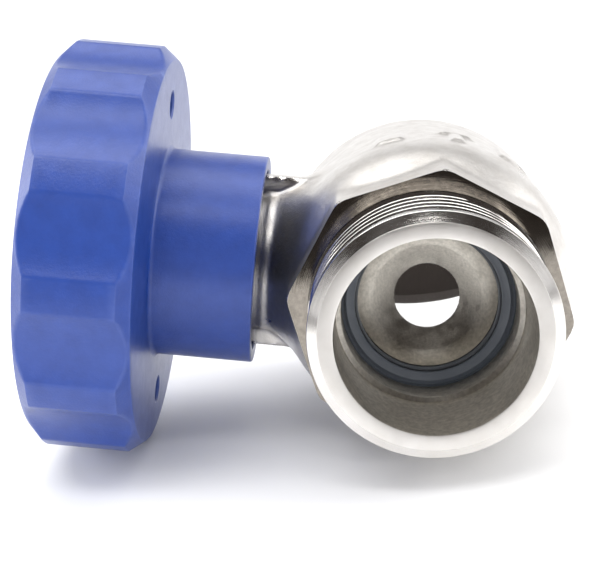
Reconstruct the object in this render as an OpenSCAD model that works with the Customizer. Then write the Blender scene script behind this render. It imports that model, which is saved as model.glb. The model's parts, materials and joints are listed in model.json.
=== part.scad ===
// Quarter-turn ball valve: male union end, female rear end, long neck and round hand knob.
// The pipe axis runs along Y with the front sealing face at the origin. The valve lies on
// its side, as it rests on a bench: on the knob's rim and on the round ball housing.

/* [Front end] */
// Crest radius of the male union thread
thread_r = 16.62; // [16.4:0.02:16.8]
// Pitch of the male union thread
thread_pitch = 2.309; // [2.25:0.001:2.35]
// Bore radius of the front port
port_r = 13.1; // [12.8:0.05:13.2]
// Outer radius of the flat sealing face
face_r = 15.15; // [15:0.05:15.4]
// Distance from the sealing face to the octagon
front_len = 12.8; // [12.7:0.05:13]
// Across flats of both wrench octagons
octagon_af = 37; // [36.6:0.1:37.4]

/* [Housing] */
// Outside radius of the ball housing
housing_r = 21.8; // [21.6:0.1:22.4]
// Distance from the sealing face to the stem axis
ball_y = 34.4; // [34.2:0.1:34.6]
// Rear end of the ball housing
housing_back = 51; // [50.8:0.1:51.4]
// Overall length along the pipe
valve_len = 68; // [67:0.5:74]

/* [Ball and seats] */
// Radius of the ball
ball_r = 19.2; // [19.1:0.05:19.25]
// Radius of the hole through the ball
ball_bore_r = 10; // [9:0.1:10.2]
// Radius of the hole in the seats
seat_bore_r = 10.4; // [10.2:0.05:10.6]

/* [Neck and stem] */
// Outside radius of the neck
neck_r = 10.4; // [10.2:0.1:10.5]
// Height of the neck above the pipe axis
neck_top = 37.4; // [37:0.1:37.6]
// Reach of the two stop ribs from the stem axis
rib_reach = 13.4; // [13:0.1:13.5]
// Radius of the stem
stem_r = 5.4; // [5.38:0.01:5.42]

/* [Hand knob] */
// Radius of the knob over its grip lands
knob_r = 31.2; // [30.5:0.1:32]
// Hub side of the knob, above the pipe axis
knob_back = 40.1; // [40:0.1:40.2]
// Thickness of the knob's rim
knob_t = 16.15; // [16:0.05:16.4]
// Number of finger scallops
scallops = 12; // [8:1:14]
// Depth of the scallops below the grip lands
scallop_depth = 1.5; // [0.8:0.1:1.9]
// Angle taken by one grip land
land_angle = 9.2; // [7:0.1:12]
// Bevel of the rim's two edges
knob_bevel = 1.9; // [1:0.1:2.2]
// Outside radius of the hub skirt
skirt_r = 15.9; // [15.6:0.1:16.4]
// Open end of the hub skirt, above the pipe axis
skirt_end = 25; // [24.6:0.1:26]
// Distance of the two seal-wire holes from the stem axis
wire_hole_reach = 22.7; // [21.5:0.1:23.5]

/* [Hidden] */
$fn = 96;

eps = 0.02;                     // assembly gap between pieces that touch
run = 0.05;                     // running clearance of turning pieces
octagon_r = octagon_af / 2 / cos(22.5);
shoulder_front = 16;            // sloping shoulder between the octagon and the housing
shoulder_back = 24.2;
collar_y = front_len - 0.35;    // thin ring at the foot of the male thread
rest_h = knob_back + knob_bevel;
lie_angle = acos(housing_r / norm([knob_r, rest_h])) - atan2(rest_h, knob_r);

cavity_r = ball_r + 0.5;
seat_r = 14.7;                  // pocket of each seat
seat_front = 16.9;              // floor of the front seat's pocket
seat_len = 4.8;
seat_relief = 0.6;              // last stretch of a seat, which stands clear of its pocket
step_r = 12.3;                  // shoulder that holds the front seat
step_y = 12.6;
joint_r = 19.9;                 // screwed joint of the end connector
joint_y = 43.2;
joint_ring_y = 49.2;            // joint ring's groove

rear_minor_r = 12.06;           // female pipe thread
rear_major_r = 13.22;
rear_pitch = 1.814;
rear_thread_y = 56.2;

slot_z = 13.6;                  // floor of the ball's drive slot
slot_w = 6.2;
collar_z = 19.4;                // stem collar, below the thrust washer
washer_z = 21.65;
bore_z = 22.6;
packing_z = 30.5;
gland_z = 33;
gland_r = 8;
nut_top = 39.8;
shaft_top = 41;
square_w = 7.6;
stem_top = 49.3;
o_ring_z = [24.5, 28.5];
o_ring_w = 1.8;                 // stem groove's width
o_ring_r = 0.6;
groove_r = 4.2;

skirt_bore_r = 13.9;
floor_z = 40.3;                 // closed end inside the skirt
boss_r = 12;
web_z = 43.6;                   // front of the knob's web
insert_z = 41;
insert_top = 49.5;
insert_r = 8.5;
knob_front = knob_back + knob_t;
rim_in_r = 26.4;                // inside of the knob's rim
cover_r = 27;
cover_z = knob_front - 2.2;
cap_r = 9;
cap_z = cover_z + 0.6;
wire_hole_r = 2;
screw_r = 2.5;
head_z = 51.6;
head_r = 4.5;

rib_w = 2.4;
rib_top = 33.5;
lug_gap = 0.5;                  // degrees left between a stop lug and its rib

// Frames: lie() tips the valve onto its side, on_pipe() has Z back along the pipe,
// and on_stem() has Z out along the stem, X up and the pipe along Y.
module lie() {
    rotate([0, lie_angle, 0]) children();
}

module on_pipe() {
    lie() rotate([-90, 0, 0]) children();
}

module on_stem() {
    lie() translate([0, ball_y, 0]) rotate([0, -90, 0]) children();
}

module tube(r_out, r_in, z0, z1) {
    difference() {
        translate([0, 0, z0]) cylinder(r = r_out, h = z1 - z0);
        translate([0, 0, z0 - 1]) cylinder(r = r_in, h = z1 - z0 + 2);
    }
}

module torus(ring_r, wire_r, z) {
    translate([0, 0, z]) rotate_extrude() translate([ring_r, 0]) circle(r = wire_r, $fn = 32);
}

// Thread grooves as rings: crest radius r0, root radius r1, first groove at z0
module thread_grooves(r0, r1, pitch, z0, count) {
    flat = pitch * 0.09;
    half = pitch / 2 - flat;
    out = sign(r0 - r1);
    for (k = [0 : count - 1]) {
        z = z0 + k * pitch;
        rotate_extrude() polygon([[r1, z - flat], [r1, z + flat], [r0, z + half],
                                  [r0 + out * 0.3, z + half], [r0 + out * 0.3, z - half],
                                  [r0, z - half]]);
    }
}

module octagon(z0, z1) {
    translate([0, 0, z0]) cylinder(r = octagon_r, h = z1 - z0, $fn = 8);
}

// Turned bevel that takes the octagon's sharp corners off, at both of its ends
module octagon_bevel(z0, z1) {
    top_r = octagon_af / 2 + 1.2;
    rise = 1.2;
    rotate_extrude() polygon([[0, z0], [top_r, z0], [top_r + 2, z0 + rise],
                              [top_r + 2, z1 - rise], [top_r, z1], [0, z1]]);
}

// ---- Body ----

module housing_solid() {
    rotate_extrude() polygon([[0, shoulder_front], [octagon_af / 2 - 0.2, shoulder_front],
                              [housing_r - 0.5, shoulder_back - 1.6], [housing_r, shoulder_back],
                              [housing_r, housing_back - 0.6], [housing_r - 0.6, housing_back],
                              [0, housing_back]]);
}

module front_end_solid() {
    rotate_extrude() polygon([[0, 0], [face_r, 0], [thread_r, 0.8], [thread_r, 11.5],
                              [thread_r - 1.1, 11.7], [thread_r - 1.1, collar_y - 0.1],
                              [thread_r + 0.3, collar_y], [thread_r + 0.3, front_len + 1],
                              [0, front_len + 1]]);
    intersection() {
        octagon(front_len, shoulder_back - 2);
        octagon_bevel(front_len, shoulder_back + 2);
    }
}

// Raised casting marks on the housing: a flow arrow between two plain pads
module cast_marks() {
    arrow = [[-1, -5], [1, -5], [1, 1], [2.6, 1], [0, 5], [-2.6, 1], [-1, 1]];
    lie() intersection() {
        translate([0, ball_y - 14, 0]) rotate([-90, 0, 0]) cylinder(r = housing_r + 0.4, h = 28);
        translate([0, ball_y - 1.5, 10]) linear_extrude(15) {
            translate([2.6, 0]) polygon(arrow);
            for (x = [-7.2, 11]) translate([x - 2, -4]) square([4, 8]);
        }
    }
}

module neck_solid() {
    cylinder(r = neck_r, h = neck_top);
    translate([0, 0, 18]) cylinder(r1 = neck_r + 4, r2 = neck_r, h = 5.2);
    translate([-rib_reach, -rib_w / 2, 0]) cube([2 * rib_reach, rib_w, rib_top]);
}

module body_flow_space() {
    rotate_extrude() polygon([[0, -1], [port_r, -1], [port_r, step_y - 0.4], [step_r, step_y],
                              [step_r, seat_front], [seat_r, seat_front],
                              [seat_r, seat_front + seat_len - seat_relief],
                              [cavity_r, seat_front + seat_len + 2.8], [cavity_r, joint_y - 0.6],
                              [joint_r, joint_y], [joint_r, housing_back + 1],
                              [0, housing_back + 1]]);
    thread_grooves(thread_r, face_r, thread_pitch, 3.25, 4);
}

module body_stem_space() {
    cylinder(r = gland_r + 0.1, h = bore_z);
    cylinder(r = stem_r + run, h = neck_top + 1);
    translate([0, 0, packing_z]) cylinder(r = gland_r, h = neck_top - packing_z + 1);
}

module body() {
    color([0.78, 0.75, 0.70]) difference() {
        union() {
            on_pipe() {
                housing_solid();
                front_end_solid();
            }
            on_stem() neck_solid();
            cast_marks();
        }
        on_pipe() body_flow_space();
        on_stem() body_stem_space();
    }
}

// ---- End connector, screwed into the rear of the housing ----

module end_connector() {
    flange_back = housing_back + 2.8;
    pocket_back = 2 * ball_y - seat_front;
    pocket_front = pocket_back - seat_len + seat_relief;
    color([0.76, 0.73, 0.68]) on_pipe() difference() {
        union() {
            rotate_extrude() polygon([[0, 44.2], [joint_r - 0.8, 44.2], [joint_r - eps, 45],
                                      [joint_r - eps, joint_ring_y - 1.1],
                                      [joint_r - 1.7, joint_ring_y - 1.1],
                                      [joint_r - 1.7, joint_ring_y + 1.1],
                                      [joint_r - eps, joint_ring_y + 1.1],
                                      [joint_r - eps, housing_back + eps],
                                      [housing_r - 1, housing_back + eps],
                                      [housing_r - 0.5, housing_back + 0.5],
                                      [housing_r - 0.5, flange_back - 0.5],
                                      [housing_r - 1, flange_back], [0, flange_back]]);
            intersection() {
                octagon(flange_back - 1, valve_len);
                octagon_bevel(flange_back - 5, valve_len);
            }
        }
        rotate_extrude() polygon([[0, 43], [cavity_r - 1, 43], [seat_r, pocket_front],
                                  [seat_r, pocket_back], [seat_bore_r, pocket_back],
                                  [seat_bore_r, rear_thread_y - 1.2], [rear_minor_r, rear_thread_y],
                                  [rear_minor_r, valve_len - 1.3], [rear_major_r, valve_len],
                                  [rear_major_r, valve_len + 1], [0, valve_len + 1]]);
        thread_grooves(rear_minor_r, rear_major_r, rear_pitch, rear_thread_y + 1.2, 5);
    }
}

module end_o_ring() {
    color([0.10, 0.10, 0.11]) on_pipe() torus(joint_r - 0.85, 0.82, joint_ring_y);
}

// ---- Seats, made once and mirrored about the ball ----

module seat() {
    front = seat_front + eps;
    back = seat_front + seat_len;
    difference() {
        rotate_extrude() polygon([[seat_r - 1.5, front], [seat_r - 1.5, front + 1.7],
                                  [seat_r - eps, front + 1.7], [seat_r - eps, back],
                                  [seat_bore_r, back], [seat_bore_r, front + 0.9],
                                  [seat_bore_r + 0.3, front + 0.7], [step_r - 0.6, front + 0.4],
                                  [step_r - 0.5, front + 1.2], [step_r, front + 1.2],
                                  [step_r + 0.1, front]]);
        translate([0, 0, ball_y]) sphere(r = ball_r + run);
    }
}

module front_seat() {
    color([0.24, 0.28, 0.34]) on_pipe() seat();
}

module rear_seat() {
    color([0.24, 0.28, 0.34]) on_pipe() translate([0, 0, 2 * ball_y]) mirror([0, 0, 1]) seat();
}

module seat_o_ring() {
    torus(seat_r - 0.78, 0.7, seat_front + 0.85);
}

module front_seat_o_ring() {
    color([0.10, 0.10, 0.11]) on_pipe() seat_o_ring();
}

module rear_seat_o_ring() {
    color([0.10, 0.10, 0.11]) on_pipe() translate([0, 0, 2 * ball_y]) mirror([0, 0, 1]) seat_o_ring();
}

// ---- Stem seals held by the neck ----

module thrust_washer() {
    color([0.92, 0.92, 0.88]) on_stem() tube(gland_r - 0.1, stem_r + run, washer_z, bore_z - eps);
}

module packing_ring() {
    color([0.92, 0.92, 0.88]) on_stem() tube(gland_r - eps, stem_r + run, packing_z + eps, gland_z - eps);
}

module gland_nut() {
    color([0.80, 0.66, 0.36]) on_stem() difference() {
        union() {
            translate([0, 0, gland_z]) cylinder(r = gland_r - eps, h = nut_top - gland_z - 0.5);
            translate([0, 0, neck_top + eps]) cylinder(r = 9.6, h = nut_top - neck_top - eps, $fn = 6);
        }
        cylinder(r = stem_r + run, h = nut_top + 1);
    }
}

// ---- Ball ----

module ball() {
    color([0.85, 0.85, 0.86]) on_stem() difference() {
        sphere(r = ball_r);
        rotate([0, 90, 0]) translate([0, 0, -ball_r - 1]) cylinder(r = ball_bore_r, h = 2 * ball_r + 2);
        translate([-slot_w / 2, -ball_r - 1, slot_z]) cube([slot_w, 2 * ball_r + 2, ball_r]);
    }
}

// ---- Stem: drive tang, collar, sealed shaft and square end ----

module stem() {
    tang_l = 13;
    tang_w = slot_w - 0.2;
    color([0.80, 0.68, 0.42]) on_stem() difference() {
        union() {
            intersection() {
                translate([-tang_w / 2, -tang_l / 2, slot_z + 0.2]) cube([tang_w, tang_l, collar_z - slot_z]);
                cylinder(r = gland_r - 0.3, h = collar_z + 1);
            }
            translate([0, 0, collar_z]) cylinder(r = gland_r - 0.3, h = washer_z - collar_z - run);
            translate([0, 0, collar_z + 1]) cylinder(r = stem_r, h = shaft_top - collar_z - 1 - eps);
            translate([-square_w / 2, -square_w / 2, shaft_top - 1]) cube([square_w, square_w, stem_top - shaft_top + 1]);
        }
        for (z = o_ring_z) tube(stem_r + 1, groove_r, z - o_ring_w / 2, z + o_ring_w / 2);
        translate([0, 0, 35]) cylinder(r = screw_r, h = stem_top - 34);
    }
}

module stem_o_ring_lower() {
    color([0.10, 0.10, 0.11]) on_stem() torus(groove_r + o_ring_r + eps, o_ring_r, o_ring_z[0]);
}

module stem_o_ring_upper() {
    color([0.10, 0.10, 0.11]) on_stem() torus(groove_r + o_ring_r + eps, o_ring_r, o_ring_z[1]);
}

// ---- Knob: scalloped rim, web, boss, ribs and hub skirt in one moulding ----

module knob_rim_solid() {
    rotate_extrude() polygon([[0, knob_back], [knob_r - knob_bevel, knob_back],
                              [knob_r, knob_back + knob_bevel], [knob_r, knob_front - knob_bevel],
                              [knob_r - knob_bevel, knob_front], [0, knob_front]]);
}

// One scallop is a cylinder through the ends of two lands and the scallop's lowest line
module scallop_cuts() {
    step = 360 / scallops;
    half_chord = knob_r * sin((step - land_angle) / 2);
    chord_at = knob_r * cos((step - land_angle) / 2);
    sag = chord_at - (knob_r - scallop_depth);
    cut_r = (half_chord * half_chord + sag * sag) / (2 * sag);
    for (k = [0 : scallops - 1]) rotate([0, 0, (k + 0.5) * step])
        translate([knob_r - scallop_depth + cut_r, 0, knob_back - 1]) cylinder(r = cut_r, h = knob_t + 2);
}

module knob_ribs() {
    for (k = [0 : 5]) rotate([0, 0, k * 60 + 30])
        translate([boss_r - 0.5, -1, web_z - 1]) cube([rim_in_r - boss_r + 1, 2, cover_z - web_z - 1]);
}

// A stop lug meets one side of each rib when shut and the other side when open
module stop_lugs() {
    inner = neck_r + 0.4;
    start = asin(rib_w / 2 / inner) + lug_gap;
    far = 2 * skirt_r;
    for (turn = [0, 180]) rotate([0, 0, turn]) intersection() {
        tube(skirt_bore_r + 0.5, inner, 26.5, rib_top);
        linear_extrude(rib_top + 1) polygon([[0, 0], far * [cos(start), sin(start)], far * [1, 1],
                                             far * [sin(start), cos(start)]]);
    }
}

module knob() {
    color([0.10, 0.22, 0.62]) on_stem() {
        difference() {
            union() {
                difference() {
                    union() {
                        difference() {
                            knob_rim_solid();
                            scallop_cuts();
                        }
                        translate([0, 0, skirt_end]) cylinder(r = skirt_r, h = knob_back - skirt_end + 1);
                    }
                    difference() {
                        translate([0, 0, web_z]) cylinder(r = rim_in_r, h = knob_t);
                        translate([0, 0, web_z - 1]) cylinder(r = boss_r, h = cover_z - web_z);
                    }
                    translate([0, 0, cover_z]) cylinder(r = cover_r, h = knob_t);
                }
                knob_ribs();
            }
            translate([0, 0, skirt_end - 1]) cylinder(r = skirt_bore_r, h = floor_z - skirt_end + 1);
            translate([0, 0, floor_z - 1]) cylinder(r = stem_r + run, h = knob_t);
            translate([0, 0, insert_z - eps]) cylinder(r = insert_r + eps, h = knob_t);
            for (side = [-1, 1]) translate([side * wire_hole_reach, 0, knob_back - 1])
                cylinder(r = wire_hole_r, h = web_z - knob_back + 2);
        }
        stop_lugs();
    }
}

module drive_insert() {
    hole = square_w + 0.04;
    color([0.80, 0.66, 0.36]) on_stem() difference() {
        translate([0, 0, insert_z]) cylinder(r = insert_r, h = insert_top - insert_z);
        translate([-hole / 2, -hole / 2, insert_z - 1]) cube([hole, hole, insert_top - insert_z + 2]);
    }
}

// ---- Knob fastening ----

module flat_washer() {
    color([0.72, 0.72, 0.73]) on_stem() tube(7.5, screw_r + 0.2, insert_top + eps, insert_top + 1);
}

module spring_washer() {
    color([0.62, 0.62, 0.64]) on_stem() difference() {
        tube(head_r, screw_r + 0.2, insert_top + 1 + eps, head_z - eps);
        translate([0, -0.5, insert_top]) cube([head_r + 1, 1, 4]);
    }
}

module knob_screw() {
    key_r = 2.3;
    head_h = 2.6;
    color([0.72, 0.72, 0.73]) on_stem() difference() {
        union() {
            translate([0, 0, 36]) cylinder(r = screw_r - eps, h = head_z - 36 + 0.5);
            translate([0, 0, head_z]) cylinder(r = head_r, h = head_h - 0.8);
            translate([0, 0, head_z + head_h - 0.8]) cylinder(r1 = head_r, r2 = head_r - 1, h = 0.8);
        }
        translate([0, 0, head_z + 0.8]) cylinder(r = key_r, h = head_h, $fn = 6);
    }
}

// ---- Cover, marker and cap on the knob's front ----

module knob_cover() {
    color([0.11, 0.24, 0.66]) on_stem() difference() {
        union() {
            tube(cover_r - run, cap_r + run, cover_z + eps, knob_front - 0.2);
            tube(rim_in_r - run, rim_in_r - 1.5, cover_z - 1.2, cover_z + 1);
            tube(cap_r + 2, cap_r + run, cover_z - 0.01, cover_z + 1);
        }
        translate([13, -2, cover_z - 1]) cube([10, 4, 4]);
    }
}

module position_marker() {
    color([0.93, 0.93, 0.92]) on_stem() translate([13 + run, -2 + run, cover_z + 0.4])
        cube([10 - 2 * run, 4 - 2 * run, knob_front - cover_z - 0.4]);
}

module knob_cap() {
    dome = 1.2;
    dome_r = (cap_r * cap_r + dome * dome) / (2 * dome);
    cap_front = knob_front - 0.3;
    color([0.11, 0.24, 0.66]) on_stem() difference() {
        union() {
            translate([0, 0, cap_z]) cylinder(r = cap_r - eps, h = cap_front - cap_z);
            intersection() {
                translate([0, 0, cap_front + dome - dome_r]) sphere(r = dome_r);
                translate([0, 0, cap_front]) cylinder(r = cap_r - eps, h = dome + 1);
            }
        }
        translate([0, 0, cap_z - 1]) cylinder(r = head_r + 1.2, h = 1.6);
    }
}

body();
end_connector();
end_o_ring();
front_seat();
rear_seat();
front_seat_o_ring();
rear_seat_o_ring();
thrust_washer();
packing_ring();
gland_nut();
ball();
stem();
stem_o_ring_lower();
stem_o_ring_upper();
knob();
drive_insert();
flat_washer();
spring_washer();
knob_screw();
knob_cover();
position_marker();
knob_cap();
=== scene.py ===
import json
import math
import bpy
import bmesh
import numpy as np
from mathutils import Matrix, Vector, noise


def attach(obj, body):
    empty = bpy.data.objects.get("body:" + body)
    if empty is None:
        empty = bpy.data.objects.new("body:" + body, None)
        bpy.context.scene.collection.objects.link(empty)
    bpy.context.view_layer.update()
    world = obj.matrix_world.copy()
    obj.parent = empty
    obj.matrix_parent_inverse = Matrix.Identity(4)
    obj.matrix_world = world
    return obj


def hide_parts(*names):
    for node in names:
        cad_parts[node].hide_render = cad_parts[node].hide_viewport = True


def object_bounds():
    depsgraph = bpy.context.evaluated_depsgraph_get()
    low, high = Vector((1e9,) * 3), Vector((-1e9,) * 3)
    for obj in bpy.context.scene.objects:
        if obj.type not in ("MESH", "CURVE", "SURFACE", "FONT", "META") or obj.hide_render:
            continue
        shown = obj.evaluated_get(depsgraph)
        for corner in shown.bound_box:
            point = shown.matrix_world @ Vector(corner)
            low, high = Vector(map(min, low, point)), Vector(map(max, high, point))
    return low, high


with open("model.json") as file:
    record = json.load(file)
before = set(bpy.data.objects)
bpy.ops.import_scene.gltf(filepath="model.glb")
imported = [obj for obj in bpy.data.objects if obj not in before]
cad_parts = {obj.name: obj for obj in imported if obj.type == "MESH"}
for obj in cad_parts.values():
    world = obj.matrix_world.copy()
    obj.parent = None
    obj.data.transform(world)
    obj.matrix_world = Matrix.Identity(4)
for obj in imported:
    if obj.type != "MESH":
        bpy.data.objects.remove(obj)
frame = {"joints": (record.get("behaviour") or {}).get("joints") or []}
cad_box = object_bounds()

# ---- Bench, backdrop and light ----
# The valve lies on a plain white sheet under large soft boxes. Dark cards in front, above and
# behind stand for the dark room around the bench, and only show where bright metal mirrors them.

MM = 0.001
FLOOR_Z = cad_box[0][2]
WHITE_PAPER = (0.84, 0.84, 0.84, 1)
DARK_ROOM = (0.022, 0.016, 0.013, 1)


def new_material(name):
    """A fresh node material, its node tree, its Principled BSDF and the object's coordinates."""
    material = bpy.data.materials.new(name)
    material.use_nodes = True
    tree = material.node_tree
    where = tree.nodes.new("ShaderNodeTexCoord").outputs["Object"]
    return material, tree, tree.nodes["Principled BSDF"], where


def add_object(name, data):
    thing = bpy.data.objects.new(name, data)
    bpy.context.scene.collection.objects.link(thing)
    return thing


def add_mesh(name, verts, faces):
    mesh = bpy.data.meshes.new(name)
    mesh.from_pydata([tuple(v) for v in verts], [], [tuple(f) for f in faces])
    return add_object(name, mesh)


def plain_material(name, colour, roughness):
    material, _, bsdf, _ = new_material(name)
    bsdf.inputs["Base Color"].default_value = colour
    bsdf.inputs["Roughness"].default_value = roughness
    return material


def sweep_sheet():
    """White paper: flat under the valve, curving up well behind it. It ends in front, where the
    dark bench begins, so that faces turned to the front mirror a dark room above the paper."""
    front, depth, bend, top, wide = -0.100, 0.55, 0.30, 0.75, 1.6
    path = [(front, 0.0), (0.1, 0.0), (depth, 0.0)]
    path += [(depth + bend * math.sin(a), bend * (1 - math.cos(a)))
             for a in np.radians(np.arange(7.5, 90.1, 7.5))]
    path.append((depth + bend, top))
    verts = [(x, y, FLOOR_Z + z) for x in (-wide, wide) for y, z in path]
    n = len(path)
    sheet = add_mesh("bench_sheet", verts, [(i + 1, i, n + i, n + i + 1) for i in range(n - 1)])
    sheet.data.shade_smooth()
    sheet.data.materials.append(plain_material("white_paper", WHITE_PAPER, 0.9))


def dark_card(name, centre, facing, width, height):
    """A flat card for the metal to mirror; it neither shows nor shades anything else."""
    look = Vector(facing).normalized().to_track_quat("Z", "Y").to_matrix()
    corners = [(-width, -height), (width, -height), (width, height), (-width, height)]
    verts = [Vector(centre) + look @ Vector((x / 2, y / 2, 0)) for x, y in corners]
    card = add_mesh(name, verts, [(0, 1, 2, 3)])
    card.data.materials.append(plain_material(name, DARK_ROOM, 0.95))
    card.visible_camera = False
    card.visible_diffuse = False


def soft_box(name, centre, width, height, watts):
    """Rectangular light that points at the valve's middle."""
    light = bpy.data.lights.new(name, "AREA")
    light.shape = "RECTANGLE"
    light.size = width
    light.size_y = height
    light.energy = watts
    lamp = add_object(name, light)
    lamp.location = centre
    to_valve = Vector((0, 0.03, 0)) - Vector(centre)
    lamp.rotation_euler = to_valve.to_track_quat("-Z", "Y").to_euler()
    return lamp


def add_camera():
    right = Vector((0.99064, 0.04499, -0.12884))
    up = Vector((0.11303, 0.25853, 0.95937))
    ahead = Vector((-0.07647, 0.96496, -0.25103))
    place = Matrix.Identity(4)
    for i in range(3):
        place[i][0] = right[i]
        place[i][1] = up[i]
        place[i][2] = -ahead[i]
    place.translation = Vector((-4.416, -151.937, 47.58)) * MM
    data = bpy.data.cameras.new("camera")
    data.lens = 74.325
    data.clip_start = 0.01
    camera = add_object("camera", data)
    camera.matrix_world = place
    bpy.context.scene.camera = camera


def light_room():
    world = bpy.data.worlds.new("studio")
    bpy.context.scene.world = world
    world.use_nodes = True
    back = world.node_tree.nodes["Background"]
    back.inputs["Color"].default_value = (0.98, 0.98, 1.0, 1)
    back.inputs["Strength"].default_value = 0.96
    soft_box("overhead_box", (0.04, 0.17, 0.62), 1.1, 0.34, 2.2)
    soft_box("front_top_box", (-0.12, -0.22, 0.60), 0.60, 0.14, 1.7)
    soft_box("left_side_box", (-0.75, 0.12, 0.30), 0.6, 0.4, 2.6)
    soft_box("right_side_box", (0.75, 0.12, 0.34), 0.6, 0.4, 2.0)
    fill = soft_box("front_fill", (0.05, -0.55, 0.10), 1.2, 0.3, 2.2)
    fill.visible_glossy = False
    dark_card("dark_room", (0.0, -0.62, 0.24), (0, 1, 0), 1.7, 0.7)
    dark_card("dark_bench", (0.0, -0.45, FLOOR_Z - 0.012), (0, 0, 1), 2.4, 0.70)
    dark_card("dark_ceiling", (0.0, -0.36, 0.68), (0, 0.25, -1), 1.6, 0.66)
    dark_card("dark_back_wall", (0.0, 0.74, 0.74), (0, -0.7, -0.7), 2.0, 0.28)


add_camera()
sweep_sheet()
light_room()
bpy.context.scene.view_settings.view_transform = "Standard"

# ---- Body casting ----
# One piece of cast and nickel plated brass: ball housing, wrench octagon, neck with two stop
# ribs. Front end, thread, bore and seat pockets are machined after casting.

JOINT = frame["joints"][0]
BALL_Y = JOINT["pos_m"][1] / MM
STEM_OUT = Vector(JOINT["axis"])
LIE = math.atan2(STEM_OUT.z, -STEM_OUT.x)
LIE_TURN = np.array(Matrix.Rotation(LIE, 3, "Y"))

THREAD_R = 16.62
THREAD_ROOT_R = 15.2
THREAD_PITCH = 2.309
FIRST_GROOVE = 3.25
FACE_R = 15.15
PORT_R = 13.1
COLLAR_R = THREAD_R + 0.3
FRONT_LEN = 12.8
OCTAGON_FLAT = 18.5
HOUSING_R = 21.8
SHOULDER_FRONT = 16.0
HOUSING_BACK = 51
NECK_R = 10.4
NECK_TOP = 37.4
RIB_REACH = 13.4
RIB_TOP = 33.5
CAVITY_R = 19.7
SEAT_POCKET_R = 14.7
SEAT_FRONT = 16.9
JOINT_R = 19.9
STEM_BORE_R = 5.45
BORE_STEP_Z = 22.6
GLAND_BORE_R = 8
GLAND_FLOOR_Z = 30.5

THREAD_COLUMNS = 256
ROWS_PER_PITCH = 22
VOXEL = 0.42 * MM
CAST_GRAIN = ((0.02, 0.28), (0.007, 0.95), (0.0025, 1.9))  # height in mm, waves to the mm

NICKEL = (0.80, 0.775, 0.74, 1)
NICKEL_SHADE = (0.66, 0.63, 0.59, 1)
# Painted dark reflection: this dark nickel colour stands in for the dark room that the octagon's polished
# front face mirrors.
PAINTED_DARK_REFLECTION_NICKEL = (0.21, 0.19, 0.165, 1)
BORE_NICKEL = (0.48, 0.455, 0.41, 1)


def rounded(points, radii, steps=4):
    """Outline with its corners rounded by arcs; a radius of 0 keeps a corner."""
    out = []
    for i, (p, r) in enumerate(zip(points, radii)):
        p, a, b = Vector(p), Vector(points[i - 1]), Vector(points[(i + 1) % len(points)])
        if r == 0:
            out.append(tuple(p))
            continue
        to_a, to_b = a - p, b - p
        cut = min(r / math.tan(to_a.angle(to_b) / 2), 0.49 * to_a.length, 0.49 * to_b.length)
        start, end = p + to_a.normalized() * cut, p + to_b.normalized() * cut
        for t in [k / steps for k in range(steps + 1)]:
            out.append(tuple((1 - t) ** 2 * start + 2 * t * (1 - t) * p + t * t * end))
    return out


def pipe_frame(co):
    """Local X up and Z back along the pipe, to the row frame in metres."""
    x, y, z = co[:, 0], co[:, 1], co[:, 2]
    return np.stack([y, z, x], 1) @ LIE_TURN.T * MM


def stem_frame(co):
    """Local X up, Y along the pipe and Z out along the stem, to the row frame in metres."""
    x, y, z = co[:, 0], co[:, 1], co[:, 2]
    return np.stack([-z, y + BALL_Y, x], 1) @ LIE_TURN.T * MM


def clean(thing, merge=1e-7):
    """Merges doubles and turns every face outwards."""
    work = bmesh.new()
    work.from_mesh(thing.data)
    bmesh.ops.remove_doubles(work, verts=work.verts, dist=merge)
    bmesh.ops.dissolve_degenerate(work, edges=work.edges, dist=merge)
    bmesh.ops.recalc_face_normals(work, faces=work.faces)
    work.to_mesh(thing.data)
    work.free()
    return thing

def joined(name, parts):
    """One object made of several, which go."""
    work = bmesh.new()
    for part in parts:
        work.from_mesh(part.data)
        bpy.data.objects.remove(part)
    mesh = bpy.data.meshes.new(name)
    work.to_mesh(mesh)
    work.free()
    return add_object(name, mesh)


def box(name, place, xs, ys, zs):
    """A closed box between two values on each axis."""
    corners = np.array([(x, y, z) for x in xs for y in ys for z in zs], float)
    faces = [(0, 1, 3, 2), (4, 6, 7, 5), (0, 4, 5, 1), (2, 3, 7, 6), (0, 2, 6, 4), (1, 5, 7, 3)]
    return clean(add_mesh(name, place(corners), faces))


def lathe(outline, place, count, shape=None, closed=True):
    """Points and quads of an outline of (radius, height) turned about Z; an open outline gives a
    strip. shape(angle, r, z) may change all three."""
    outline = np.array(outline, float)
    m = len(outline)
    angle = np.repeat(np.arange(count) * 2 * math.pi / count, m)
    r = np.tile(outline[:, 0], count)
    z = np.tile(outline[:, 1], count)
    if shape:
        angle, r, z = shape(angle, r, z)
    index = np.arange(count * m).reshape(count, m)
    right = np.roll(index, -1, 0)
    quads = np.stack([index, np.roll(index, -1, 1), np.roll(right, -1, 1), right], -1)
    if not closed:
        quads = quads[:, :-1]
    return place(np.stack([r * np.cos(angle), r * np.sin(angle), z], 1)), quads.reshape(-1, 4)


def turned(name, outline, place, count=192, shape=None):
    return clean(add_mesh(name, *lathe(outline, place, count, shape)))


def read_points(mesh):
    co = np.empty(len(mesh.vertices) * 3, np.float32)
    mesh.vertices.foreach_get("co", co)
    return co.reshape(-1, 3).astype(float)


def write_points(mesh, co):
    mesh.vertices.foreach_set("co", co.astype(np.float32).ravel())
    mesh.update()


def finish_piece(piece, body, nodes, material=None, sharp=35):
    """Shading, material and frame calls that every finished piece gets."""
    if material:
        piece.data.materials.clear()
        piece.data.materials.append(material)
    piece.data.shade_smooth()
    piece.data.set_sharp_from_angle(angle=math.radians(sharp))
    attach(piece, body)
    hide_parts(*nodes)
    return piece


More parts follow.
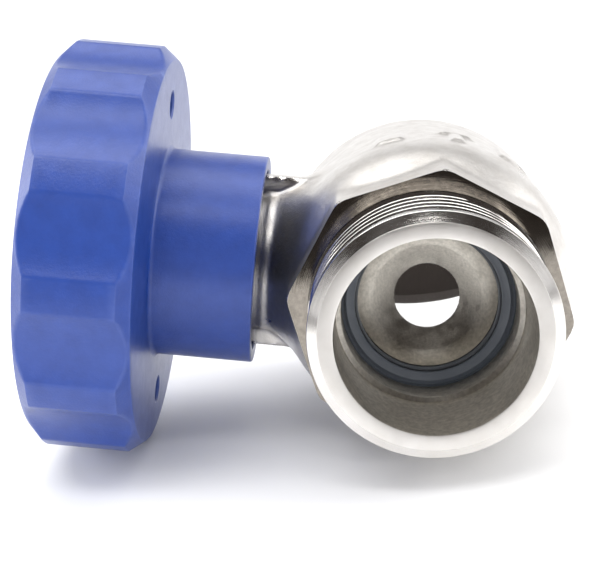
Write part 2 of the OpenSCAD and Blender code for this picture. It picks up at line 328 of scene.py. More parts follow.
def octagon_limit(angle, corner):
    """Radius of the octagon's outline at an angle, its corners rounded by a soft minimum."""
    turn = np.arange(8) * math.pi / 4 + math.pi / 8
    c = np.cos(angle[..., None] - turn)
    reach = np.where(c > 0.3, OCTAGON_FLAT / np.maximum(c, 0.3), 1e3)
    return -corner * np.log(np.exp(-reach / corner).sum(-1))


def soft_min(a, b, k):
    h = np.clip(0.5 + 0.5 * (b - a) / k, 0, 1)
    return b * (1 - h) + a * h - k * h * (1 - h)


def soft_max(a, b, k):
    return -soft_min(-a, -b, k)


def cone(r, along, start_r, rise):
    """Distance from a cone whose radius is start_r where along is 0."""
    return (r - start_r - along * rise) / math.hypot(1, rise)


def cast_distance(p):
    """Signed distance in mm from the casting's skin, before machining."""
    up, side, back = p[:, 0], p[:, 1], p[:, 2]
    r = np.hypot(up, side)
    angle = np.arctan2(side, up)
    drum = soft_max(r - HOUSING_R, cone(r, back - SHOULDER_FRONT, 18.3, 0.4545), 1.6)
    drum = soft_max(drum, FRONT_LEN + 0.4 - back, 0.3)
    drum = soft_max(drum, back - HOUSING_BACK - 3, 0.3)
    bevel = cone(r, back - FRONT_LEN, 19.9, 1.667)
    prism = soft_max((r - octagon_limit(angle, 0.16)) * 0.96, bevel, 0.3)
    prism = soft_max(prism, np.abs(back - 17) - 8, 0.3)
    skin = soft_min(drum, prism, 0.5)
    # The neck is on the -side axis, its own frame is (up, along, out)
    out, along = side, back - BALL_Y
    hub_r = np.hypot(up, along)
    neck = soft_max(hub_r - NECK_R, np.abs(out - 20) - 22, 0.2)
    flare = hub_r - NECK_R - np.clip(23.2 - out, 0, 5.2) * 0.6
    neck = soft_min(neck, soft_max(flare, np.abs(out - 14) - 10, 0.4), 0.8)
    rib = soft_max(np.abs(up) - RIB_REACH, np.abs(along) - 1.25, 0.5)
    rib = soft_max(rib, np.abs(out - 14) - (RIB_TOP - 14), 0.7)
    neck = soft_min(neck, rib, 1.1)
    skin = soft_min(skin, neck, 2.6)
    # Flow arrow between two plain pads, raised on the top of the housing
    high = up > 0
    along = back - BALL_Y + 1.5
    side_c = side + 2.6
    shaft = np.maximum(np.abs(side_c) - 0.95, np.abs(along + 2) - 3)
    head = np.maximum(np.abs(side_c) * 0.838 + (along - 1) * 0.545 - 2.18, 1 - along)
    pads = np.minimum(np.abs(side - 7.2) - 2, np.abs(side + 11) - 2)
    pads = np.maximum(pads, np.abs(along) - 4)
    mark = np.minimum(np.minimum(shaft, head), pads)
    mark = np.where(high, mark, 9.0)
    lift = 0.45 / (1 + np.exp(np.clip(mark / 0.16, -30, 30)))
    return skin - lift


def casting_block():
    """Rough closed blocks of the casting, joined by a voxel remesh."""
    housing = [(0, 13.5), (17.5, 14), (HOUSING_R, 23.4), (HOUSING_R, 54), (0, 54)]
    front = [(0, 9.2), (19.4, 9.2), (19.4, 22), (0, 22)]
    neck = [(0, 2), (13.4, 12), (13.4, 18), (NECK_R, 23.2), (NECK_R, 41.8), (0, 41.8)]
    blocks = [turned("block", housing, pipe_frame, 96), turned("block", front, pipe_frame, 64),
              turned("block", neck, stem_frame, 64)]
    for side in (-1, 1):
        blocks.append(box("slab", stem_frame, (side * 6, side * RIB_REACH), (-1.2, 1.2), (8, RIB_TOP)))
    block = joined("body_casting", blocks)
    remesh = block.modifiers.new("voxels", "REMESH")
    remesh.mode = "VOXEL"
    remesh.voxel_size = VOXEL
    apply_modifiers(block)
    return block


def relaxed(p, edges):
    """Moves every point halfway to the mean of its neighbours."""
    total = np.zeros_like(p)
    np.add.at(total, edges[:, 0], p[edges[:, 1]])
    np.add.at(total, edges[:, 1], p[edges[:, 0]])
    return 0.5 * (p + total / np.bincount(edges.ravel(), minlength=len(p))[:, None])


def draw_onto_skin(block):
    """Moves the block's points onto the casting's skin, then adds its uneven grain."""
    local = (read_points(block.data) / MM) @ LIE_TURN
    # row frame untilted is (x, y, z) -> (up, side, back) = (z, -x, y)
    p = np.stack([local[:, 2], -local[:, 0], local[:, 1]], 1)
    edges = np.empty(len(block.data.edges) * 2, np.int32)
    block.data.edges.foreach_get("vertices", edges)
    edges = edges.reshape(-1, 2)
    step = 1e-3
    for turn in range(9):
        if turn < 6:
            p = relaxed(p, edges)
        d = cast_distance(p)
        grad = np.stack([cast_distance(p + step * e) - d for e in np.eye(3)], 1) / step
        length = np.maximum((grad ** 2).sum(1), 0.2)
        p -= grad * (np.clip(d, -1.2, 1.2) / length)[:, None]
    grad /= np.sqrt((grad ** 2).sum(1))[:, None] + 1e-9
    grain = [sum(height * noise.noise(Vector(q) * waves) for height, waves in CAST_GRAIN) for q in p]
    p += grad * np.array(grain)[:, None]
    write_points(block.data, np.stack([-p[:, 1], p[:, 2], p[:, 0]], 1) @ LIE_TURN.T * MM)


def apply_modifiers(thing):
    """Makes the evaluated mesh the plain mesh and drops the modifiers."""
    graph = bpy.context.evaluated_depsgraph_get()
    mesh = bpy.data.meshes.new_from_object(thing.evaluated_get(graph))
    old = thing.data
    thing.modifiers.clear()
    thing.data = mesh
    bpy.data.meshes.remove(old)


def cut(target, tool, material):
    """Takes a closed tool out of a piece; its material is left on the cut faces."""
    tool.data.materials.append(material)
    boolean = target.modifiers.new("cut", "BOOLEAN")
    boolean.object = tool
    boolean.operation = "DIFFERENCE"
    boolean.solver = "MANIFOLD"
    boolean.material_mode = "TRANSFER"
    apply_modifiers(target)
    bpy.data.objects.remove(tool)


# Shader groups: every one gives masks, values or heights that vary over the surface.

def add_sockets(tree, in_out, kind, *labels):
    for label in labels:
        tree.interface.new_socket(label, in_out=in_out, socket_type="NodeSocket" + kind)


def shader_group(name, inputs, outputs):
    """A group of the object's coordinates and named numbers, with number outputs."""
    tree = bpy.data.node_groups.new(name, "ShaderNodeTree")
    add_sockets(tree, "INPUT", "Vector", "Coordinates")
    add_sockets(tree, "INPUT", "Float", *inputs)
    add_sockets(tree, "OUTPUT", "Float", *outputs)
    return tree, tree.nodes.new("NodeGroupInput").outputs, tree.nodes.new("NodeGroupOutput").inputs


def set_inputs(tree, made, values):
    """Links or sets inputs of a node; values maps a name or number to a socket or a value."""
    for key, value in values.items():
        if isinstance(value, bpy.types.NodeSocket):
            tree.links.new(value, made.inputs[key])
        else:
            made.inputs[key].default_value = value
    return made


def node(tree, kind, values, **settings):
    made = tree.nodes.new(kind)
    for key, value in settings.items():
        setattr(made, key, value)
    return set_inputs(tree, made, values)


def maths(tree, operation, a, b=0.0, clamp=False):
    return node(tree, "ShaderNodeMath", {0: a, 1: b}, operation=operation, use_clamp=clamp).outputs[0]


def times(tree, a, b):
    return maths(tree, "MULTIPLY", a, b)


def spread(tree, value, low, high, to_low=0.0, to_high=1.0):
    links = {"Value": value, "From Min": low, "From Max": high, "To Min": to_low, "To Max": to_high}
    return node(tree, "ShaderNodeMapRange", links).outputs[0]


def noise_height(tree, where, scale, detail, roughness=0.5):
    values = {"Vector": where, "Scale": scale, "Detail": detail, "Roughness": roughness}
    return node(tree, "ShaderNodeTexNoise", values).outputs["Fac"]


def cast_skin_group():
    """Height and tone of a plated casting: orange peel, small pits and cloudy tone."""
    tree, given, result = shader_group("cast_skin", ["Scale", "Pits"], ["Height", "Tone"])
    where = given["Coordinates"]
    peel = noise_height(tree, where, given["Scale"], 4.0, 0.55)
    fine_scale = times(tree, given["Scale"], 3.1)
    fine = noise_height(tree, where, fine_scale, 3.0, 0.6)
    cell = node(tree, "ShaderNodeTexVoronoi", {"Vector": where, "Scale": fine_scale})
    pit = spread(tree, cell.outputs["Distance"], 0.05, 0.32)
    pit = times(tree, maths(tree, "SUBTRACT", pit, 1.0), given["Pits"])
    height = maths(tree, "ADD", times(tree, fine, 0.45), peel)
    tree.links.new(maths(tree, "ADD", height, pit), result["Height"])
    cloud = noise_height(tree, where, times(tree, given["Scale"], 0.16), 5.0, 0.6)
    tree.links.new(spread(tree, cloud, 0.3, 0.7), result["Tone"])
    return tree


def tool_marks_group():
    """Fine rings left by turning: height and a slow brightness drift, about the pipe's axis."""
    tree, given, result = shader_group("tool_marks", ["Rings"], ["Height", "Mask"])
    parts = node(tree, "ShaderNodeSeparateXYZ", {0: given["Coordinates"]}).outputs
    flat = node(tree, "ShaderNodeCombineXYZ", {0: parts[0], 1: parts[2]}).outputs[0]
    reach = node(tree, "ShaderNodeVectorMath", {0: flat}, operation="LENGTH").outputs["Value"]
    drift = noise_height(tree, given["Coordinates"], 260.0, 3.0)
    wave = times(tree, maths(tree, "ADD", reach, parts[1]), given["Rings"])
    wave = maths(tree, "ADD", wave, times(tree, drift, 1.5))
    ring = node(tree, "ShaderNodeTexNoise", {"W": wave, "Scale": 1.0, "Detail": 3.0, "Roughness": 0.7},
                noise_dimensions="1D")
    tree.links.new(ring.outputs["Fac"], result["Height"])
    tree.links.new(drift, result["Mask"])
    return tree


def edge_wear_group():
    """Mask of the raised edges, broken up by noise."""
    tree, given, result = shader_group("edge_wear", ["Width", "Break Up"], ["Mask"])
    point = tree.nodes.new("ShaderNodeNewGeometry").outputs["Pointiness"]
    sharp = maths(tree, "DIVIDE", maths(tree, "SUBTRACT", point, 0.51), given["Width"], clamp=True)
    patch = spread(tree, noise_height(tree, given["Coordinates"], 900.0, 4.0), 0.35, 0.6)
    broken = maths(tree, "SUBTRACT", 1.0, times(tree, patch, given["Break Up"]))
    tree.links.new(maths(tree, "MULTIPLY", sharp, broken, clamp=True), result["Mask"])
    return tree


CAST_SKIN = cast_skin_group()
TOOL_MARKS = tool_marks_group()
EDGE_WEAR = edge_wear_group()


def use_group(tree, group, where, **values):
    made = tree.nodes.new("ShaderNodeGroup")
    made.node_tree = group
    named = {key.replace("_", " "): value for key, value in values.items()}
    return set_inputs(tree, made, {"Coordinates": where, **named}).outputs


def blend_colour(tree, mask, low, high):
    return node(tree, "ShaderNodeMix", {0: mask, 6: low, 7: high}, data_type="RGBA").outputs[2]


def wire_up(tree, bsdf, colour, rough, height, strength, distance, metallic=0.0):
    """Joins a finished look to the Principled BSDF, with its fine relief as a bump."""
    relief = node(tree, "ShaderNodeBump", {"Height": height, "Strength": strength, "Distance": distance})
    set_inputs(tree, bsdf, {"Base Color": colour, "Roughness": rough, "Normal": relief.outputs[0],
                            "Metallic": metallic})


def cloudy_material(name, scale, pits, colours, rough, strength, distance, metallic=0.0,
                    worn=None, rings=None):
    """Colour and roughness drift with a cloudy tone. Edges may be worn to another colour, and
    the fine relief may be rings left by turning."""
    material, tree, bsdf, where = new_material(name)
    skin = use_group(tree, CAST_SKIN, where, Scale=scale, Pits=pits)
    colour = blend_colour(tree, skin["Tone"], *colours)
    height = skin["Height"]
    if worn:
        wear = use_group(tree, EDGE_WEAR, where, Width=0.08, Break_Up=0.5)["Mask"]
        colour = blend_colour(tree, wear, colour, worn)
    if rings:
        height = use_group(tree, TOOL_MARKS, where, Rings=rings)["Height"]
    rough = spread(tree, skin["Tone"], 0, 1, *rough)
    wire_up(tree, bsdf, colour, rough, height, strength, distance, metallic)
    return material


def cast_nickel():
    """Plated casting: a rough satin skin, smoother where edges are rubbed."""
    material, tree, bsdf, where = new_material("cast_nickel")
    skin = use_group(tree, CAST_SKIN, where, Scale=2600.0, Pits=0.0)
    wear = use_group(tree, EDGE_WEAR, where, Width=0.05, Break_Up=0.5)
    colour = blend_colour(tree, skin["Tone"], NICKEL_SHADE, NICKEL)
    rough = spread(tree, skin["Tone"], 0, 1, 0.36, 0.29)
    rough = maths(tree, "SUBTRACT", rough, times(tree, wear["Mask"], 0.12))
    wire_up(tree, bsdf, colour, rough, skin["Height"], 1.0, 0.00005, 1.0)
    return material


def machined_nickel(name, rings, roughness, strength, dark_tone=(0.74, 0.71, 0.67, 1), mottle=900.0):
    """Turned and plated face with fine tool rings, duller in small mottled patches."""
    material, tree, bsdf, where = new_material(name)
    marks = use_group(tree, TOOL_MARKS, where, Rings=rings)
    skin = use_group(tree, CAST_SKIN, where, Scale=mottle, Pits=0.0)
    bright = [min(limit, 1.5 * value) for limit, value in zip((0.83, 0.805, 0.775), dark_tone)] + [1]
    colour = blend_colour(tree, skin["Tone"], dark_tone, bright)
    rough = spread(tree, marks["Mask"], 0.3, 0.7, roughness * 0.8, roughness * 1.25)
    wire_up(tree, bsdf, colour, rough, marks["Height"], strength, 0.00003, 1.0)
    return material


CAST_NICKEL = cast_nickel()
# The octagon face's dark colour is a painted reflection of the dark room in front, not the plate's own
# colour.
POLISHED_FACE = machined_nickel("machined_octagon_face", 5000.0, 0.06, 0.15, PAINTED_DARK_REFLECTION_NICKEL, 11000.0)
TURNED_NICKEL = machined_nickel("turned_nickel", 9000.0, 0.17, 0.22)
SEALING_NICKEL = machined_nickel("sealing_face_nickel", 16000.0, 0.38, 0.4)
BORED_NICKEL = machined_nickel("bored_nickel", 7000.0, 0.40, 0.6, BORE_NICKEL, 9000.0)


def machine_casting(block):
    """Cuts the faces and bores that are machined into the rough casting."""
    block.data.materials.append(CAST_NICKEL)

    front = [(0, 3), (30, 3), (30, FRONT_LEN), (0, FRONT_LEN)]
    cut(block, turned("tool", front, pipe_frame, 96), POLISHED_FACE)
    back = [(0, HOUSING_BACK), (30, HOUSING_BACK), (30, 62), (0, 62)]
    cut(block, turned("tool", back, pipe_frame, 96), TURNED_NICKEL)
    top = [(0, NECK_TOP), (16, NECK_TOP), (16, 50), (0, 50)]
    cut(block, turned("tool", top, stem_frame, 64), TURNED_NICKEL)
    flow = [(0, 3), (COLLAR_R - 0.3, 3), (COLLAR_R - 0.3, SEAT_FRONT), (SEAT_POCKET_R, SEAT_FRONT),
            (SEAT_POCKET_R, 21.1), (CAVITY_R, 24.5), (CAVITY_R, 42.6), (JOINT_R, 43.2), (JOINT_R, 60),
            (0, 60)]
    cut(block, turned("tool", flow, pipe_frame, 128), TURNED_NICKEL)
    stem_bore = [(0, 4), (8.1, 4), (8.1, BORE_STEP_Z), (STEM_BORE_R, BORE_STEP_Z),
                 (STEM_BORE_R, GLAND_FLOOR_Z), (GLAND_BORE_R, GLAND_FLOOR_Z), (GLAND_BORE_R, 45), (0, 45)]
    cut(block, turned("tool", stem_bore, stem_frame, 96), TURNED_NICKEL)


def thread_depth(phase):
    """0 on a thread's crest and 1 at its root, both rounded; whole numbers are roots."""
    away = np.abs(((phase + 0.5) % 1.0) - 0.5) * 2
    return soft_max(soft_min((0.81 - away) / 0.62, 1, 0.24), 0, 0.11)


def thread_wall(crest_r, root_r, pitch, span, first, fade_back, shape=None):
    """Right-hand helical wall of an open tube from span[0] to span[1]. The groove passes height
    first at angle 0, and begins a quarter turn round, one turn before that."""
    start, end = span
    rows = math.ceil((end - start) / pitch) * ROWS_PER_PITCH + ROWS_PER_PITCH + 1
    turn = (np.arange(THREAD_COLUMNS) / THREAD_COLUMNS)[:, None]
    heights = start - pitch + (np.arange(rows)[None, :] / ROWS_PER_PITCH + turn) * pitch
    heights = np.clip(heights, start, end)
    phase = (heights - first) / pitch - turn
    begin = np.where(phase > -0.5, 1.0, np.clip((turn - 0.25) / 0.2, 0, 1)) * (phase > -1.5)
    depth = thread_depth(phase) * begin
    back = np.clip((end - heights) / fade_back, 0, 1)
    r = crest_r + (root_r - crest_r) * (1 - (1 - depth) * back)
    r = np.where(heights <= start, crest_r, r)
    angle = turn * 2 * math.pi + np.zeros_like(heights)
    if shape:
        angle, r, heights = shape(angle, r, heights)
    grid = np.stack([r * np.cos(angle), r * np.sin(angle), heights], -1).reshape(-1, 3)
    index = np.arange(THREAD_COLUMNS * rows).reshape(THREAD_COLUMNS, rows)
    a, b = index[:-1], index[1:]
    quads = [np.stack([a[:, :-1], a[:, 1:], b[:, 1:], b[:, :-1]], -1).reshape(-1, 4)]
    # the last column meets the first one pitch further on
    a, b, k = index[-1], index[0], np.arange(rows - 1 - ROWS_PER_PITCH)
    quads.append(np.stack([a[k], a[k + 1], b[k + 1 + ROWS_PER_PITCH], b[k + ROWS_PER_PITCH]], 1))
    return add_mesh("thread", pipe_frame(grid), np.concatenate(quads))


def threaded_piece(name, sizes, outline, shape=None):
    """Closes a thread wall with a turned strip; the seams between them are merged."""
    wall = thread_wall(*sizes, shape)
    strip = add_mesh("strip", *lathe(outline, pipe_frame, THREAD_COLUMNS, shape, closed=False))
    return clean(joined(name, [wall, strip]), 2e-6)


def front_spigot():
    """Turned front end: sealing face, chamfer, G1 thread, collar, bore and seat pocket."""
    thread = (THREAD_R, THREAD_ROOT_R, THREAD_PITCH, (0.9, 11.6), FIRST_GROOVE, 0.35)
    outline = [(THREAD_R, 0.9), (THREAD_R - 0.06, 0.78), (FACE_R + 0.14, 0.08), (FACE_R + 0.04, 0.015),
               (FACE_R - 0.15, 0), (PORT_R + 0.28, 0), (PORT_R + 0.08, 0.06), (PORT_R, 0.25),
               (PORT_R, 12.1), (PORT_R - 0.08, 12.28), (12.45, 12.55), (12.33, 12.62), (12.3, 12.75),
               (12.3, SEAT_FRONT), (SEAT_POCKET_R, SEAT_FRONT), (SEAT_POCKET_R, 18.4), (COLLAR_R, 18.4),
               (COLLAR_R, 12.72), (COLLAR_R - 0.06, 12.52), (COLLAR_R - 0.2, 12.45), (15.6, 12.2),
               (THREAD_ROOT_R, 11.9), (THREAD_ROOT_R, 11.6)]
    spigot = threaded_piece("body_spigot", thread, outline)
    for material in (TURNED_NICKEL, SEALING_NICKEL, BORED_NICKEL):
        spigot.data.materials.append(material)
    for face in spigot.data.polygons:
        reach = math.hypot(face.center.x, face.center.z) / MM
        if face.center.y < 0.05 * MM:
            face.material_index = 1
        elif reach < PORT_R + 0.05 and face.center.y < SEAT_FRONT * MM:
            face.material_index = 2
    return spigot


casting = casting_block()
draw_onto_skin(casting)
machine_casting(casting)
finish_piece(casting, "casing", ["body"], sharp=31)
spigot = front_spigot()
finish_piece(spigot, "casing", ["body"], sharp=24)

# ---- End connector ----
# Turned and plated brass, screwed into the back of the housing against the rear seat. It has a
# flange, a second wrench octagon and a female 3/4 inch pipe thread.

CONNECTOR_END = 68
FLANGE_R = 21.3
FLANGE_BACK = 53.8
REAR_CREST_R = 12.06
REAR_ROOT_R = 13.22
REAR_PITCH = 1.814
REAR_THREAD = (56.2, 66.7)
SEAT_BORE_R = 10.4


def wrench_octagon(angle, r, z):
    """Crowds the columns at the octagon's corners and holds its length to the flats."""
    angle = angle - 0.7 * np.sin(8 * angle) / 8
    on_flats = (z > FLANGE_BACK + 0.005) & (r > 16)
    limit = octagon_limit(angle, 0.14)
    return angle, np.where(on_flats, soft_min(r, limit, 0.12), r), z


def end_connector():
    thread = (REAR_ROOT_R, REAR_CREST_R, REAR_PITCH, REAR_THREAD, 57.4, 0.3)
    inner = [(REAR_CREST_R, 66.7), (13.1, 67.87), (13.4, CONNECTOR_END), (18.3, CONNECTOR_END), (18.9, 67.95)]
    bevel = [(19.1 + 0.35 * k, 67.85 - 0.21 * k) for k in range(7)]
    wrench = [(FLANGE_R, 66.4), (FLANGE_R, 60), (FLANGE_R, FLANGE_BACK + 0.01)]
    flange = [(20.9, FLANGE_BACK), (21.15, 53.73), (FLANGE_R, 53.5), (FLANGE_R, 51.4), (21.15, 51.12),
              (20.9, 51.02)]
    joint = [(JOINT_R - 0.02, z) for z in (51.02, 50.3)]
    joint += [(JOINT_R - 1.7, 50.3), (JOINT_R - 1.7, 48.1), (JOINT_R - 0.02, 48.1), (JOINT_R - 0.02, 45),
             (JOINT_R - 0.8, 44.2), (17.68, 44.2), (SEAT_POCKET_R, 47.7), (SEAT_POCKET_R, 51.9),
             (SEAT_BORE_R, 51.9), (SEAT_BORE_R, 55), (REAR_ROOT_R, 56.2)]
    outline = inner + bevel + wrench + flange + joint
    piece = threaded_piece("rear_connector", thread, outline, wrench_octagon)
    return finish_piece(piece, "casing", ["end_connector"], TURNED_NICKEL, sharp=24)


end_connector()

# ---- Seats and rubber rings ----
# Two seats of filled PTFE press on the ball, each backed by a rubber ring in its pocket. A
# third ring seals the end connector's screwed joint.

BALL_R = 19.2
SEAT_COLOUR = (0.078, 0.090, 0.108, 1)
SEAT_COLOUR_LIGHT = (0.108, 0.120, 0.142, 1)


def filled_ptfe():
    """Blue-grey PTFE, slightly waxy, with faint turning rings."""
    material, tree, bsdf, where = new_material("filled_ptfe")
    marks = use_group(tree, TOOL_MARKS, where, Rings=7000.0)
    skin = use_group(tree, CAST_SKIN, where, Scale=700.0, Pits=0.0)
    colour = blend_colour(tree, skin["Tone"], SEAT_COLOUR, SEAT_COLOUR_LIGHT)
    rough = spread(tree, marks["Height"], 0.2, 0.8, 0.30, 0.45)
    wire_up(tree, bsdf, colour, rough, marks["Height"], 0.25, 0.00003)
    return material


FILLED_PTFE = filled_ptfe()
RUBBER_BLACK = ((0.010, 0.010, 0.011, 1), (0.019, 0.019, 0.020, 1))
SMOOTH_RUBBER = cloudy_material("smooth_rubber", 2500.0, 0.2, RUBBER_BLACK, (0.42, 0.55), 0.2, 0.00003)


def rear_twin(place):
    """The same place mirrored about the ball, for a piece at the rear."""
    return lambda co: place(co * (1, 1, -1) + (0, 0, 2 * BALL_Y))


def seat_outline():
    front, back = SEAT_FRONT + 0.02, SEAT_FRONT + 4.8
    contact = BALL_R + 0.05
    reach = np.linspace(math.sqrt(contact ** 2 - (BALL_Y - back) ** 2), SEAT_BORE_R, 10)
    on_ball = [(r, BALL_Y - math.sqrt(contact ** 2 - r * r)) for r in reach]
    lip = [(SEAT_BORE_R, 18.0), (SEAT_BORE_R + 0.08, 17.82), (10.7, 17.62), (11.55, 17.38), (11.75, 17.5),
           (11.8, 18.1), (12.3, 18.15), (12.38, 17.1), (12.5, front), (13.1, front), (13.2, front + 0.1),
           (13.2, front + 1.65), (14.6, front + 1.67), (14.68, front + 1.75)]
    return lip + [(14.68, back - 0.2), (14.5, back)] + on_ball


for side, place in (("front", pipe_frame), ("rear", rear_twin(pipe_frame))):
    seat = turned(f"{side}_seat_ring", seat_outline(), place, 256)
    finish_piece(seat, "casing", [f"{side}_seat"], FILLED_PTFE, sharp=28)


def growth_tree(name, labels):
    """Geometry tree with number inputs, a material and one output."""
    tree = bpy.data.node_groups.new(name, "GeometryNodeTree")
    for label in labels:
        add_sockets(tree, "INPUT", "Int" if label == "Count" else "Float", label)
    add_sockets(tree, "INPUT", "Material", "Material")
    add_sockets(tree, "OUTPUT", "Geometry", "Geometry")
    return tree, tree.nodes.new("NodeGroupInput").outputs


def grown(tree, kind, **values):
    """First output of a geometry node; values name its inputs, with _ for a space."""
    named = {key.replace("_", " "): value for key, value in values.items()}
    return node(tree, "GeometryNode" + kind, named).outputs[0]


def vector(tree, x=0.0, y=0.0, z=0.0):
    return node(tree, "ShaderNodeCombineXYZ", {0: x, 1: y, 2: z}).outputs[0]


def close_tree(tree, geometry, given):
    """Realize Instances and Set Material end every geometry tree."""
    real = grown(tree, "RealizeInstances", Geometry=geometry)
    painted = grown(tree, "SetMaterial", Geometry=real, Material=given["Material"])
    tree.links.new(painted, tree.nodes.new("NodeGroupOutput").inputs["Geometry"])
    return tree


def close_sweep(tree, given, path, wire, capped):
    """Sweeps a wire along a path, lifts it to the named height and ends the tree."""
    sweep = grown(tree, "CurveToMesh", Curve=path, Profile_Curve=wire, Fill_Caps=capped)
    lift = vector(tree, z=given["Height"])
    return close_tree(tree, grown(tree, "Transform", Geometry=sweep, Translation=lift), given)


def ring_tree():
    """A round ring swept round its own circle."""
    tree, given = growth_tree("rubber_ring", ("Ring Radius", "Wire Radius", "Height"))
    path = grown(tree, "CurvePrimitiveCircle", Resolution=128, Radius=given["Ring Radius"])
    wire = grown(tree, "CurvePrimitiveCircle", Resolution=20, Radius=given["Wire Radius"])
    return close_sweep(tree, given, path, wire, False)


def grow(name, tree, place, inputs):
    """Runs a geometry tree on an empty mesh, then puts its plain mesh in place."""
    piece = add_mesh(name, [], [])
    growth = piece.modifiers.new("growth", "NODES")
    growth.node_group = tree
    for item in tree.interface.items_tree:
        if item.in_out == "INPUT" and item.name in inputs:
            growth[item.identifier] = inputs[item.name]
    apply_modifiers(piece)
    write_points(piece.data, place(read_points(piece.data)))
    return clean(piece)


RING_TREE = ring_tree()


def rubber_ring(name, cad_node, body, place, ring_r, wire_r, height):
    sizes = {"Ring Radius": ring_r, "Wire Radius": wire_r, "Height": height, "Material": SMOOTH_RUBBER}
    ring = grow(name, RING_TREE, place, sizes)
    return finish_piece(ring, body, [cad_node], sharp=60)


rubber_ring("joint_ring", "end_o_ring", "casing", pipe_frame, JOINT_R - 0.85, 0.82, 49.2)
rubber_ring("front_backing_ring", "front_seat_o_ring", "casing", pipe_frame, SEAT_POCKET_R - 0.78, 0.7,
            SEAT_FRONT + 0.85)
rubber_ring("rear_backing_ring", "rear_seat_o_ring", "casing", rear_twin(pipe_frame), SEAT_POCKET_R - 0.78,
            0.7, SEAT_FRONT + 0.85)

# ---- Ball ----
# Brass ball, ground and chrome plated, with a through bore and a drive slot for the stem's
# tang. It is shut at rest, so the port shows its plain side.

BALL_BORE_R = 10.0
SLOT_W = 6.2
SLOT_FLOOR = 13.6


def ball_frame(co):
    """Local Z along the ball's bore, which points up while the valve is shut."""
    return stem_frame(co[:, [2, 0, 1]])


def polished_chrome():
    """Mirror chrome with fine vertical brush lines and a little haze."""
    material, tree, bsdf, where = new_material("polished_chrome")
    stretch = node(tree, "ShaderNodeMapping", {"Vector": where, "Scale": (4200.0, 4200.0, 90.0)})
    brush = noise_height(tree, stretch.outputs[0], 1.0, 3.0, 0.65)
    haze = noise_height(tree, where, 160.0, 4.0)
    colour = blend_colour(tree, brush, (0.70, 0.695, 0.68, 1), (0.92, 0.915, 0.905, 1))
    rough = spread(tree, haze, 0.3, 0.7, 0.03, 0.07)
    wire_up(tree, bsdf, colour, rough, brush, 0.12, 0.00001, 1.0)
    return material


def chrome_ball():
    edge = math.sqrt(BALL_R ** 2 - (BALL_BORE_R + 0.3) ** 2)
    lift = math.asin(edge / BALL_R)
    outer = [(BALL_R * math.cos(a), BALL_R * math.sin(a)) for a in np.linspace(-lift, lift, 97)]
    lip = [(BALL_BORE_R + 0.1, edge + 0.03), (BALL_BORE_R, edge - 0.15)]
    outline = outer + lip + [(r, -z) for r, z in reversed(lip)]
    ball = turned("chrome_ball", outline, ball_frame, 256)
    ball.data.materials.append(polished_chrome())
    slot_end = BALL_R + 1
    slot = box("slot", stem_frame, (-SLOT_W / 2, SLOT_W / 2), (-slot_end, slot_end), (SLOT_FLOOR, BALL_R + 2))
    cut(ball, slot, ball.data.materials[0])
    return finish_piece(ball, "ball_body", ["ball"], sharp=30)


chrome_ball()

# ---- Stem and its seals ----
# Turned brass stem with a drive tang below, two rubber rings, and a square end that carries
# the knob. A PTFE washer, a PTFE packing ring and a brass gland nut hold it in the neck.

STEM_R = 5.4
STEM_RING_R = 4.82
STEM_RING_WIRE_R = 0.6
STEM_RINGS_Z = (24.5, 28.5)
BARE_BRASS = cloudy_material("bare_brass", 600.0, 0.1, ((0.55, 0.38, 0.14, 1), (0.72, 0.52, 0.22, 1)),
                             (0.36, 0.24), 0.25, 0.00002, 1.0, (0.85, 0.66, 0.33, 1), 8000.0)
WHITE_PTFE = cloudy_material("white_ptfe", 1200.0, 0.1, ((0.76, 0.76, 0.72, 1), (0.86, 0.86, 0.83, 1)),
                             (0.5, 0.4), 0.15, 0.00003)


def bar_limit(angle, half_x, half_y):
    """Radius of a rectangle's outline at an angle."""
    return np.minimum(half_x / np.maximum(np.abs(np.cos(angle)), 1e-4),
                      half_y / np.maximum(np.abs(np.sin(angle)), 1e-4))


def hex_limit(angle, flat):
    c = np.cos(np.mod(angle, math.pi / 3) - math.pi / 6)
    return flat / c


def stem_shape(angle, r, z):
    """The tang and the square end, on a round stem."""
    tang = soft_min(r, bar_limit(angle, 3.0, 6.5), 0.3)
    square = soft_min(r, bar_limit(angle, 3.8, 3.8), 0.4)
    return angle, np.where(z < 19.39, tang, np.where((z > 40.99) & (r > 3), square, r)), z


def brass_stem():
    outline = [(0, 13.8), (6.9, 13.8), (7.5, 14.1), (7.5, 19.38), (7.5, 19.4), (7.7, 19.6), (7.7, 21.4),
               (7.5, 21.6), (STEM_R, 21.6)]
    for z in STEM_RINGS_Z:
        outline += [(STEM_R, z - 1.0), (STEM_R - 0.1, z - 0.9), (4.2, z - 0.9), (4.2, z + 0.9),
                    (STEM_R - 0.1, z + 0.9), (STEM_R, z + 1.0)]
    outline += [(STEM_R, 40.8), (STEM_R - 0.1, 40.97), (STEM_R - 0.1, 41.0), (STEM_R, 41.1), (STEM_R, 49.0),
                (4.6, 49.3), (2.9, 49.3), (2.5, 48.9)]
    outline += [(2.5 + 0.28 * (k % 2), 48.5 - 0.4 * k) for k in range(32)]
    outline += [(2.1, 35.6), (0, 34.6)]
    stem = turned("brass_stem", outline, stem_frame, 192, stem_shape)
    return finish_piece(stem, "knob_body", ["stem"], BARE_BRASS, sharp=28)


brass_stem()
for level, z in zip(("lower", "upper"), STEM_RINGS_Z):
    rubber_ring(f"{level}_stem_ring", f"stem_o_ring_{level}", "knob_body", stem_frame, STEM_RING_R,
                STEM_RING_WIRE_R, z)


def flat_ring(name, r_in, r_out, z0, z1, edge):
    corners = [(r_in, z0), (r_out, z0), (r_out, z1), (r_in, z1)]
    return turned(name, rounded(corners, [edge] * 4), stem_frame, 128)


